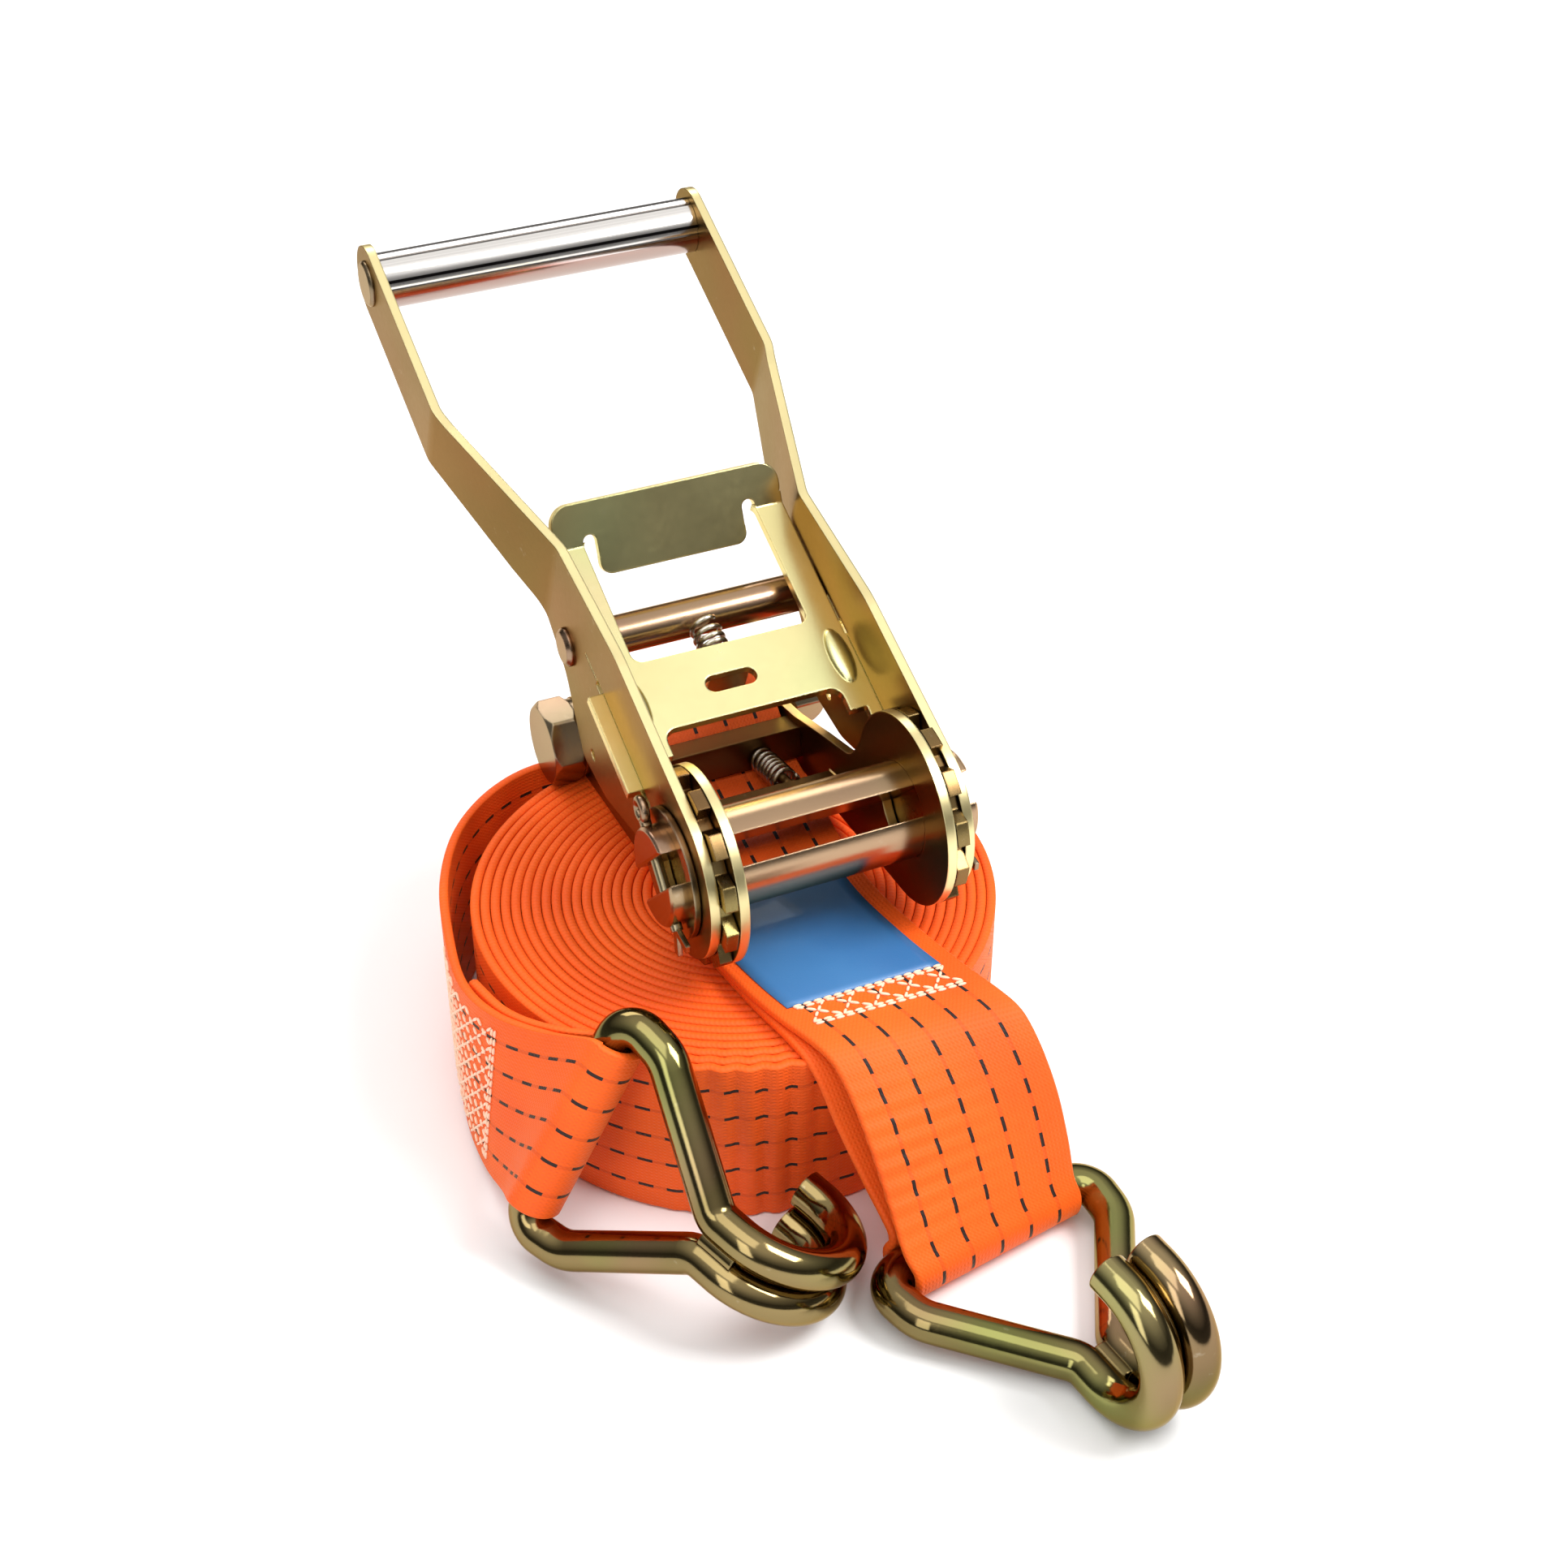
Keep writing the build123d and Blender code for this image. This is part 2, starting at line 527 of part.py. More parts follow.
def short_strap():
    """Two layers of webbing: a loop round the anchor sleeve and a loop round the hook."""
    half = WEB_WIDTH / 2
    bolt_y, bolt_z = SPOOL_Y + BOLT_Y, SPOOL_Z + BOLT_Z
    hold = SLEEVE_RADIUS + 0.1
    rear = block(-half, half, STRAP_TURN_Y - 4, bolt_y, STRAP_LOW, STRAP_TOP)
    rear += slab(Pos(bolt_y, bolt_z) * Circle(hold + WEB_THICK), -half, half)
    rear -= slab(Pos(bolt_y, bolt_z) * Circle(hold), -half - 1, half + 1)
    reach = (HOOK2_Y - STRAP_TURN_Y) / cos(radians(STRAP_YAW))
    path = FilletPolyline((4, STRAP_MID), (-56, STRAP_MID), (-67, 31), (reach, HOOK2_Z),
                          radius=[18, 26])
    front = slab(trace(path, 2 * WEB_THICK), -half, half)
    front += slab(Pos(reach, HOOK2_Z) * Circle(LOOP_OUT), -half, half)
    front -= slab(Pos(reach, HOOK2_Z) * Circle(LOOP_IN), -half - 1, half + 1)
    return Pos(SPOOL_X, 0, 0) * rear + along_strap(front)


def label():
    plate = block(-LABEL_HALF, LABEL_HALF, -LABEL_LENGTH + 3, 3, STRAP_TOP, STRAP_TOP + LABEL_THICK)
    return along_strap(plate)


def stitching():
    """The sewn box in front of the label: two rows across the strap and three along it."""
    near, far = -LABEL_LENGTH - 6.0, -LABEL_LENGTH + 3.5
    rows = [block(-19, 19, y, y + 1.2, STRAP_TOP, STRAP_TOP + THREAD_HIGH) for y in (near, far - 2)]
    rows += [block(x, x + 1.2, near, far - 1, STRAP_TOP, STRAP_TOP + THREAD_HIGH) for x in (-19, -0.6, 17.8)]
    return along_strap(rows[0] + rows[1:])


if __name__ == "__main__":
    os.makedirs("parts", exist_ok=True)
    top = SPOOL_TURN
    save("half_shaft_upper", at_spool(half_shaft(top)))
    save("half_shaft_lower", at_spool(half_shaft(top + 180)))
    save("ratchet_wheel_left", at_spool(ratchet_wheel(-1)))
    save("ratchet_wheel_right", at_spool(ratchet_wheel(1)))
    save("shaft_washers", at_spool(shaft_washers()))
    save("cotter_pins", at_spool(Compound([cotter_pin(-COTTER_X), cotter_pin(COTTER_X)])))
    save("base_plate_left", at_spool(base_plate(-1)))
    save("base_plate_right", at_spool(base_plate(1)))
    save("spring_bracket", at_spool(spring_bracket()))
    save("lock_pawl", at_spool(lock_pawl()))
    save("lock_springs", at_spool(Compound(lock_springs())))
    save("anchor_bolt", at_spool(anchor_bolt()))
    save("anchor_nut", at_spool(anchor_nut()))
    save("anchor_washers", at_spool(anchor_washers()))
    save("anchor_sleeve", at_spool(anchor_sleeve()))
    save("handle_plate_left", at_handle(handle_plate(-1)))
    save("handle_plate_right", at_handle(handle_plate(1)))
    save("grip_tube", at_handle(grip_tube()))
    save("grip_rod", at_handle(grip_rod()))
    save("spacer_tube", at_handle(spacer_tube()))
    save("spacer_rod", at_handle(spacer_rod()))
    save("drive_pawl", at_handle(drive_pawl() + spring_tab()))
    save("drive_spring", at_handle(drive_spring()))
    save("strap_hook", place_hook2(hook()))
    save("long_strap_hook", place_hook1(hook()))
    save("strap_roll", strap_roll())
    save("strap_tail", strap_tail())
    save("short_strap", short_strap())
    save("label", label())
    save("strap_stitching", stitching())
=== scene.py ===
import bpy
import math
import random
from mathutils import Matrix, Vector


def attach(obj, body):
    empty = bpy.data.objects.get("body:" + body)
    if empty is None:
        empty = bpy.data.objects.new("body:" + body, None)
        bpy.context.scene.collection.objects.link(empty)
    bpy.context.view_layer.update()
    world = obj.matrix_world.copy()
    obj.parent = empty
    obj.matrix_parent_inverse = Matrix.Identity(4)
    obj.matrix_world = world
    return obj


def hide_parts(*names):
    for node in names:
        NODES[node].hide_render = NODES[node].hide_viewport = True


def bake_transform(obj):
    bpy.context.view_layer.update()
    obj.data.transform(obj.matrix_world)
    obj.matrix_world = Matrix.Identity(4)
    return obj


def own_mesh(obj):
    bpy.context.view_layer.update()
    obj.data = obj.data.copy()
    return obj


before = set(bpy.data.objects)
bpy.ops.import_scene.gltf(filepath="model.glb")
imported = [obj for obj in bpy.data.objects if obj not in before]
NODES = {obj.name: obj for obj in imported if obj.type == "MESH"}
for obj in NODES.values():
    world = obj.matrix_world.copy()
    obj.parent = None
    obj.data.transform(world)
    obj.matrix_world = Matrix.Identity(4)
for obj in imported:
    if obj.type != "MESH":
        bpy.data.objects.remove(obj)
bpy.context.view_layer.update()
MM = 0.001
UP = Vector((0, 0, 1))

# Sizes are in millimetres and angles in degrees, unless a comment says otherwise.

# ---- places shared with the CAD ------------------------------------------------------------
SPOOL = Vector((10.5, -24.0, 81.0))       # middle of the spool
HANDLE_ANGLE = 24.0
LOCK_SLOPE = 12.0                         # the lock pawl slides down and back at this slope
SLEEVE = Vector((10.5, 64.0, 61.3))       # sleeve on the anchor bolt
SLEEVE_RADIUS = 8.5
HOOK2 = Vector((24.3, -98.0, 8.4))        # crossbar of the short strap's hook
HOOK2_YAW = 10.0
HOOK1 = Vector((-63.3, -51.8, 38.5))      # crossbar of the long strap's hook
HOOK1_AXIS = Vector((0.4808, 0.0062, 0.8768))
HOOK1_REACHED = Vector((0.31, -0.95, 0))  # direction in which the long strap comes to its hook
GRIP_Y, GRIP_Z = 0.1625, 0.1564           # middle of the grip tube, in metres
LOOP_RADIUS = 6.6                         # middle of the webbing round a hook's crossbar

# ---- webbing -------------------------------------------------------------------------------
WEB_WIDTH = 50.0
WEB_THICK = 2.4
WEB_EDGE = 0.8                            # rounding of the two edges
EDGE_STEPS = (0.0, 0.25, 0.7)             # points across a rounded edge
ROLL_PITCH = 2.6                          # radial step from one turn of the roll to the next
ROLL_HIGH = 50.0
ROLL_LIFT = 0.05                          # the roll's lower edge above z = 0
ROLL_OUTER = 68.3                         # middle of the outermost turn
ROLL_EYE = 5.5                            # middle of the innermost turn
ROLL_LEAVES = 97.0                        # direction in which the loose end leaves the roll
ROLL_LOOSE = 1500.0                       # the outer turns, over this angle, are a little uneven
ROLL_UNEVEN = 0.35
PLEATS_AT = -108.0                        # direction from the roll's middle to its pleated front
PLEATS_WIDE = 17.0
PLEAT_HIGH = 0.55
PLEAT_STEP = 6.6
CREASE_ZONE = 52.0                        # the short strap is creased this far past its bend
CREASE_HIGH = 0.32
CREASE_STEP = 4.6
CREASE_EDGE = 14.0                        # the creases run out here, across the strap
CREASE_FADE = 30.0

# points of the long strap's loose end in plan, and how far it has turned to the hook's axis
TAIL = ((-10, 69.2, 0), (-27, 70.5, 0), (-43, 65, 0), (-57, 52, 0), (-67, 33, 0), (-72.5, 12, 0),
        (-74.5, -8, 0.05), (-73.5, -25, 0.25), (-69.5, -40, 0.6))
TAIL_DOUBLE = 6           # the strap's end is folded back inside from the hook to this point
TAIL_LIFT = 0.15
TAIL_SINGLE_IN, TAIL_OUTER_IN, TAIL_INNER_IN = -0.2, -1.4, 1.2    # inwards from the points

LOW, TOP = 51.5, 54.1     # middles of the short strap's two layers under the ratchet

# the short strap's middle in front of the sleeve: x, y, z and yaw, forward on top of the roll and
# down to the hook, then back up from it
FRONT_LINE = ((10.0, 30, TOP, 0), (7.0, 0, TOP, 0), (6.5, -20, TOP, 0), (9.5, -40, TOP + 0.2, 0),
              (13.0, -55, TOP + 0.5, -1), (17.0, -67, TOP + 0.3, -3), (19.0, -73, TOP - 0.6, -3),
              (20.2, -77, 51.0, -3), (21.5, -83, 45.0, -2), (22.6, -89.5, 36.5, 0),
              (23.6, -96, 25.0, 4), (24.1, -101, 16.0, 8))
BACK_LINE = ((24.4, -91.5, 14, 10), (22.0, -84, 24, 6), (19.0, -76.5, 36, 2), (16.5, -70.5, 47, 0),
             (14.0, -62, LOW, 0), (10.0, -40, LOW, 0), (7.0, -10, LOW, 0), (9.0, 20, LOW, 0))
BEND = Vector((19.6, -74.5, TOP - 1.2))   # where it goes over the roll's edge

# ---- label and thread ----------------------------------------------------------------------
LABEL_START = Vector((7, -8, TOP))
LABEL_LONG = 47.0
LABEL_HALF = 20.5
LABEL_SHIFT = -1.0
LABEL_THICK = 0.35
LABEL_GAP = 0.05
THREAD_RADIUS = 0.42
THREAD_HIGH = 0.2         # middle of the thread above the webbing's face
STITCH = 2.6
STITCH_FILLED = 0.82      # share of a stitch's step that its thread covers
BOX_FRONT = Vector((15.5, -62.5, TOP))    # front seam of the box sewn before the label
BOX_LONG = 7.5
BOX_HALF = 20
BOX_CELL = 8
SEWN_START = Vector((-78, 14, 25))        # ends of the tail's sewn zone, outside the strap so
SEWN_END = Vector((-79, -26, 27))         # that its outer layer is the nearer
SEWN_HALF = 21
SEWN_CELL = 6
SEWN_ROWS = 6

# ---- springs -------------------------------------------------------------------------------
DRIVE_SEAT, DRIVE_DROP = 54.0, 6.5        # along the handle from the spool, and below its middle
DRIVE_LONG, DRIVE_RADIUS, DRIVE_TURNS, DRIVE_WIRE = 15.8, 3.6, 6, 0.7
LOCK_SEAT, LOCK_DROP = 45.0, 8.907        # along the lock pawl from the spool, and below it
LOCK_LONG, LOCK_RADIUS, LOCK_TURNS, LOCK_WIRE = 19.0, 3.2, 7, 0.6
LOCK_XS = (-14, 14)

# ---- camera --------------------------------------------------------------------------------
SENSOR = 36.0
LENS = 56.27
CAMERA_ELEVATION, CAMERA_AZIMUTH = 37.0, -24.0
CAMERA_AWAY, CAMERA_RIGHT, CAMERA_ABOVE = 665.0, 13.6, 66.6


# ---- small helpers ------------------------------------------------------------------------
def mesh_object(name, points, faces, smooth=True):
    """A mesh whose points are in millimetres."""
    mesh = bpy.data.meshes.new(name)
    mesh.from_pydata([tuple(p * MM) for p in points], [], faces)
    mesh.update()
    for polygon in mesh.polygons:
        polygon.use_smooth = smooth
    piece = bpy.data.objects.new(name, mesh)
    bpy.context.scene.collection.objects.link(piece)
    return piece


def catmull(a, b, c, d, t):
    """The Catmull-Rom point between b and c."""
    return 0.5 * ((2 * b) + (c - a) * t + (2 * a - 5 * b + 4 * c - d) * t * t
                  + (3 * b - a - 3 * c + d) * t * t * t)


def smooth_rows(rows, step):
    """Rows of (middle, across) joined by one smooth path and taken about every step."""
    dense = []
    for k in range(len(rows) - 1):
        quad = [rows[max(k - 1, 0)], rows[k], rows[k + 1], rows[min(k + 2, len(rows) - 1)]]
        count = max(2, int((rows[k + 1][0] - rows[k][0]).length / step))
        for i in range(count):
            t = i / count
            middle = catmull(*[row[0] for row in quad], t)
            across = catmull(*[row[1] for row in quad], t)
            dense.append((middle, across.normalized()))
    dense.append(rows[-1])
    return dense


def path_lengths(rows):
    """How far along the path each row is."""
    total, lengths = 0.0, [0.0]
    for before, after in zip(rows, rows[1:]):
        total += (after[0] - before[0]).length
        lengths.append(total)
    return lengths


def ribbon(name, rows, thick, relief=None):
    """A closed strap along rows of (middle, across), with rounded edges and a UV map in metres.

    relief(along, u) lifts the strap off its middle surface, for creases and folds.
    """
    half = WEB_WIDTH / 2
    inner = half - WEB_EDGE
    us = [-half + step for step in EDGE_STEPS] + [-inner + inner * k / 6 for k in range(13)]
    us += [half - step for step in reversed(EDGE_STEPS)]
    ring = []
    for u in us:
        past = max(0.0, abs(u) - inner) / WEB_EDGE
        ring.append((u, thick / 2 * math.sqrt(max(0.0, 1 - past ** 2))))
    ring += [(u, -w) for u, w in reversed(ring[1:-1])]
    points, lengths = [], path_lengths(rows)
    for k, (middle, across) in enumerate(rows):
        ahead = rows[min(k + 1, len(rows) - 1)][0] - rows[max(k - 1, 0)][0]
        normal = across.cross(ahead).normalized()
        for u, w in ring:
            lift = relief(lengths[k], u) if relief else 0.0
            points.append(middle + across * u + normal * (w + lift))
    size = len(ring)
    faces = []
    for k in range(len(rows) - 1):
        for i in range(size):
            j = (i + 1) % size
            faces.append((k * size + i, k * size + j, (k + 1) * size + j, (k + 1) * size + i))
    last = (len(rows) - 1) * size
    faces.append(tuple(range(size - 1, -1, -1)))
    faces.append(tuple(last + i for i in range(size)))
    piece = mesh_object(name, points, faces)
    layer = piece.data.uv_layers.new(name="web")
    for polygon in piece.data.polygons:
        for loop in polygon.loop_indices:
            index = piece.data.loops[loop].vertex_index
            u, _ = ring[index % size]
            layer.data[loop].uv = (u * MM, lengths[index // size] * MM)
    return piece


class Strap:
    """The middle surface of a strap, to place thread and patches on."""

    def __init__(self, rows):
        self.rows = rows
        self.lengths = path_lengths(rows)

    def at(self, along, u, high):
        """The point this far along, across and off the middle surface."""
        k = 0
        while k < len(self.rows) - 2 and self.lengths[k + 1] < along:
            k += 1
        share = (along - self.lengths[k]) / (self.lengths[k + 1] - self.lengths[k])
        middle = self.rows[k][0].lerp(self.rows[k + 1][0], share)
        across = self.rows[k][1].lerp(self.rows[k + 1][1], share).normalized()
        ahead = self.rows[k + 1][0] - self.rows[k][0]
        normal = across.cross(ahead).normalized()
        return middle + across * u + normal * high

    def nearest(self, point):
        """How far along the strap its nearest row to a point is."""
        gaps = [(row[0] - point).length for row in self.rows]
        return self.lengths[gaps.index(min(gaps))]


def stitches(name, pairs, radius):
    """Short lengths of thread, each a spindle between two points."""
    points, faces = [], []
    sides, stations = 6, ((0.0, 0.25), (0.18, 0.85), (0.5, 1.0), (0.82, 0.85), (1.0, 0.25))
    for start, end in pairs:
        ahead = (end - start).normalized()
        side = ahead.orthogonal().normalized()
        other = ahead.cross(side)
        base = len(points)
        for share, grow in stations:
            middle = start.lerp(end, share)
            for k in range(sides):
                turn = math.tau * k / sides
                points.append(middle + (side * math.cos(turn) + other * math.sin(turn)) * radius * grow)
        for s in range(len(stations) - 1):
            for k in range(sides):
                a, b = base + s * sides + k, base + s * sides + (k + 1) % sides
                faces.append((a, b, b + sides, a + sides))
        faces.append(tuple(base + k for k in reversed(range(sides))))
        top = base + (len(stations) - 1) * sides
        faces.append(tuple(top + k for k in range(sides)))
    return mesh_object(name, points, faces)


# ---- materials -----------------------------------------------------------------------------
class Graph:
    """A material's node tree, with short calls for the nodes used here."""

    def __init__(self, name):
        self.material = bpy.data.materials.new(name)
        self.material.use_nodes = True
        self.tree = self.material.node_tree
        self.shader = self.tree.nodes["Principled BSDF"]

    def node(self, kind, **settings):
        made = self.tree.nodes.new(kind)
        for key, value in settings.items():
            setattr(made, key, value)
        return made

    def link(self, source, target):
        self.tree.links.new(source, target)

    def math(self, operation, a, b=None):
        made = self.node("ShaderNodeMath", operation=operation)
        for socket, value in zip(made.inputs, (a, b)):
            if value is None:
                continue
            if isinstance(value, (int, float)):
                socket.default_value = value
            else:
                self.link(value, socket)
        return made.outputs[0]

    def mix(self, share, a, b):
        made = self.node("ShaderNodeMix", data_type="RGBA")
        for index, value in ((0, share), (6, a), (7, b)):
            socket = made.inputs[index]
            if isinstance(value, (int, float)):
                socket.default_value = value
            elif isinstance(value, tuple):
                socket.default_value = (*value, 1.0)
            else:
                self.link(value, socket)
        return made.outputs[2]

    def noise(self, scale, detail=3.0, stretch=None):
        coords = self.node("ShaderNodeTexCoord").outputs["Object"]
        if stretch:
            mapping = self.node("ShaderNodeMapping")
            mapping.inputs["Scale"].default_value = stretch
            self.link(coords, mapping.inputs["Vector"])
            coords = mapping.outputs[0]
        made = self.node("ShaderNodeTexNoise")
        made.inputs["Scale"].default_value = scale
        made.inputs["Detail"].default_value = detail
        self.link(coords, made.inputs["Vector"])
        return made.outputs["Fac"]

    def spread(self, value, low, high):
        """value between low and high, stretched to 0 to 1."""
        made = self.node("ShaderNodeMapRange")
        made.inputs["From Min"].default_value = low
        made.inputs["From Max"].default_value = high
        self.link(value, made.inputs["Value"])
        return made.outputs[0]

    def bump(self, height, strength, distance):
        made = self.node("ShaderNodeBump")
        made.inputs["Strength"].default_value = strength
        made.inputs["Distance"].default_value = distance
        self.link(height, made.inputs["Height"])
        self.link(made.outputs[0], self.shader.inputs["Normal"])
        return made

    def set(self, **values):
        for key, value in values.items():
            self.shader.inputs[key.replace("_", " ")].default_value = value


def webbing_material():
    """Plain woven polyester with five rows of black marker yarn along it."""
    g = Graph("webbing")
    # in metres, as the UV map is
    row_step, dash_step, rib_step, pick_step = 0.0088, 0.0074, 0.00105, 0.00125
    dash_share, yarn_half, rows_reach = 0.53, 0.055, 2.4
    uv = g.node("ShaderNodeUVMap", uv_map="web").outputs[0]
    split = g.node("ShaderNodeSeparateXYZ")
    g.link(uv, split.inputs[0])
    u, v = split.outputs[0], split.outputs[1]
    # distance from the nearest row, and whether the strap has a row there
    row = g.math("ADD", g.math("DIVIDE", u, row_step), 50.5)
    off_row = g.math("ABSOLUTE", g.math("SUBTRACT", g.math("FRACT", row), 0.5))
    in_rows = g.math("LESS_THAN", g.math("ABSOLUTE", u), rows_reach * row_step)
    on_row = g.math("MULTIPLY", g.math("LESS_THAN", off_row, yarn_half), in_rows)
    in_dash = g.math("LESS_THAN", g.math("FRACT", g.math("DIVIDE", v, dash_step)), dash_share)
    dash = g.math("MULTIPLY", on_row, in_dash)
    # cord-like ribs along and picks across
    rib = g.math("SINE", g.math("MULTIPLY", u, math.tau / rib_step))
    pick = g.math("SINE", g.math("MULTIPLY", v, math.tau / pick_step))
    woven = g.math("MULTIPLY", rib, pick)
    height = g.math("ADD", g.math("MULTIPLY", rib, 0.35), g.math("MULTIPLY", woven, 0.45))
    height = g.math("SUBTRACT", height, g.math("MULTIPLY", on_row, 1.4))
    g.bump(height, 0.55, 0.00016)
    cloth = g.mix(g.spread(g.noise(28.0, 4.0), 0.35, 0.65), (0.90, 0.098, 0.006), (0.97, 0.130, 0.008))
    cloth = g.mix(g.math("MULTIPLY", g.spread(woven, -1.0, 1.0), 0.25), cloth, (0.72, 0.075, 0.005))
    cloth = g.mix(g.math("MULTIPLY", on_row, 0.35), cloth, (0.55, 0.05, 0.005))
    g.link(g.mix(dash, cloth, (0.018, 0.010, 0.008)), g.shader.inputs["Base Color"])
    g.set(Roughness=0.6, Sheen_Weight=0.15, Sheen_Roughness=0.45, Specular_IOR_Level=0.3)
    g.shader.inputs["Sheen Tint"].default_value = (1.0, 0.5, 0.1, 1.0)
    return g.material


def thread_material():
    """Pale twisted polyester thread."""
    g = Graph("thread")
    twist = g.noise(900.0, 2.0)
    g.link(g.mix(twist, (0.95, 0.50, 0.28), (1.0, 0.80, 0.62)), g.shader.inputs["Base Color"])
    g.bump(twist, 0.5, 0.0002)
    g.set(Roughness=0.55, Sheen_Weight=0.3)
    return g.material


def label_material():
    """Blank blue coated fabric with a fine woven grain."""
    g = Graph("label")
    tone = g.spread(g.noise(30.0), 0.35, 0.65)
    g.link(g.mix(tone, (0.036, 0.150, 0.370), (0.050, 0.185, 0.420)), g.shader.inputs["Base Color"])
    grain = g.noise(2600.0, 1.0)
    g.bump(grain, 0.25, 0.0001)
    g.link(g.math("ADD", g.math("MULTIPLY", grain, 0.15), 0.38), g.shader.inputs["Roughness"])
    g.set(Coat_Weight=0.15)
    return g.material


def plated_steel(name, light, deep, blush, green, rough, brush=(1.0, 1.0, 1.0), painted_edge_highlight=None):
    """Zinc-plated, passivated steel: the film's tint drifts between yellow, pink and green.

    The last argument is a painted highlight: a lighter colour for a side plate's sheared edges, which
    face away from the X axis.
    """
    g = Graph(name)
    drift = g.spread(g.noise(16.0, 1.0), 0.3, 0.7)
    tint = g.mix(drift, light, deep)
    tint = g.mix(g.math("MULTIPLY", g.spread(g.noise(19.0, 1.0), 0.5, 0.75), 0.6), tint, blush)
    tint = g.mix(g.math("MULTIPLY", g.spread(g.noise(24.0, 1.0), 0.5, 0.75), 0.6), tint, green)
    # small marks where the film has rubbed thin
    marks = g.spread(g.noise(300.0, 6.0), 0.68, 0.80)
    tint = g.mix(g.math("MULTIPLY", marks, 0.2), tint, (0.80, 0.76, 0.62))
    if painted_edge_highlight:
        # painted highlight: the side plates' sheared edges are made lighter, where their rims catch the
        # light
        facing = g.node("ShaderNodeSeparateXYZ")
        g.link(g.node("ShaderNodeTexCoord").outputs["Normal"], facing.inputs[0])
        edge_highlight_mask = g.math("LESS_THAN", g.math("ABSOLUTE", facing.outputs[0]), 0.6)
        tint = g.mix(edge_highlight_mask, tint, painted_edge_highlight)
    g.link(tint, g.shader.inputs["Base Color"])
    scratch = g.noise(520.0, 4.0, brush)
    cloudy = g.noise(45.0, 2.0)
    roughness = g.math("ADD", rough, g.math("MULTIPLY", cloudy, 0.08))
    roughness = g.math("ADD", roughness, g.math("MULTIPLY", scratch, 0.06))
    g.link(g.math("SUBTRACT", roughness, 0.06), g.shader.inputs["Roughness"])
    soft_edge = g.node("ShaderNodeBevel", samples=4)
    soft_edge.inputs["Radius"].default_value = 0.0006
    rough_skin = g.bump(scratch, 0.12, 0.00008)
    g.link(soft_edge.outputs[0], rough_skin.inputs["Normal"])
    g.set(Metallic=1.0)
    g.shader.inputs["Specular Tint"].default_value = (0.86, 0.72, 0.54, 1.0)
    return g.material


def grip_material():
    """Bright rolled tube: a dark seam and drawn lines along it, and painted shade in taupe towards its
    underside.
    """
    g = Graph("bright_grip")
    split = g.node("ShaderNodeSeparateXYZ")
    g.link(g.node("ShaderNodeTexCoord").outputs["Object"], split.inputs[0])
    back = g.math("SUBTRACT", split.outputs[1], GRIP_Y)
    rise = g.math("SUBTRACT", split.outputs[2], GRIP_Z)
    turn = g.math("ARCTAN2", rise, g.math("MULTIPLY", back, -1.0))

    def line(at, wide):
        """1 within wide, in radians, of the direction at round the tube."""
        return g.math("LESS_THAN", g.math("ABSOLUTE", g.math("SUBTRACT", turn, at)), wide)

    steel = g.mix(g.noise(60.0, 2.0, (0.05, 30, 30)), (0.88, 0.86, 0.83), (0.66, 0.62, 0.60))
    # painted shade: a taupe band on the tube's lower front, the side turned away from the light
    steel = g.mix(line(-0.55, 0.42), steel, (0.42, 0.32, 0.28))
    for at in (0.02, 1.35):
        steel = g.mix(g.math("MULTIPLY", line(at, 0.03), 0.6), steel, (0.20, 0.17, 0.16))
    g.link(g.mix(line(0.34, 0.055), steel, (0.04, 0.035, 0.035)), g.shader.inputs["Base Color"])
    drawn = g.noise(700.0, 3.0, (0.02, 1, 1))
    g.link(g.math("ADD", g.math("MULTIPLY", drawn, 0.12), 0.10), g.shader.inputs["Roughness"])
    g.bump(drawn, 0.15, 0.00008)
    g.set(Metallic=1.0)
    return g.material


def paint(material, *names):
    """Give CAD nodes a material."""
    for name in names:
        node = NODES[name]
        node.data.materials.clear()
        node.data.materials.append(material)


# ---- straps --------------------------------------------------------------------------------
def roll_rows():
    """The wound part of the long strap, from the eye out to where it leaves at the back."""
    turns = (ROLL_OUTER - ROLL_EYE) / ROLL_PITCH
    rows, angle = [], ROLL_LEAVES - turns * 360
    while angle < ROLL_LEAVES:
        radius = ROLL_OUTER - ROLL_PITCH * (ROLL_LEAVES - angle) / 360
        # the outer turns are a little uneven, and pleated at the front
        loose = max(0.0, 1 - (ROLL_LEAVES - angle) / ROLL_LOOSE)
        radius += ROLL_UNEVEN * loose * math.sin(math.radians(3 * angle + 40))
        past = (angle - PLEATS_AT + 180) % 360 - 180
        pleat = math.exp(-(past / PLEATS_WIDE) ** 4)
        wave = math.sin(ROLL_OUTER * math.radians(angle) * math.tau / PLEAT_STEP)
        radius += PLEAT_HIGH * loose * pleat * wave
        turn = math.radians(angle)
        middle = Vector((radius * math.cos(turn), radius * math.sin(turn), ROLL_HIGH / 2 + ROLL_LIFT))
        rows.append((middle, UP))
        angle += math.degrees((1.2 if pleat * loose > 0.05 else 3.0) / radius)
    return rows


def tail_row(k, inward):
    """(middle, across) of the tail at its k-th point, moved inwards towards the roll."""
    x, y, tilt = TAIL[k]
    before, after = TAIL[max(k - 1, 0)], TAIL[min(k + 1, len(TAIL) - 1)]
    ahead = Vector((after[0] - before[0], after[1] - before[1], 0)).normalized()
    lean = (HOOK1_AXIS * tilt + UP * (1 - tilt)).normalized()
    side = Vector((-ahead.y, ahead.x, 0))
    rise = ROLL_HIGH / 2 + TAIL_LIFT + (HOOK1.z - ROLL_HIGH / 2) * tilt
    return Vector((x, y, rise)) + side * inward, lean


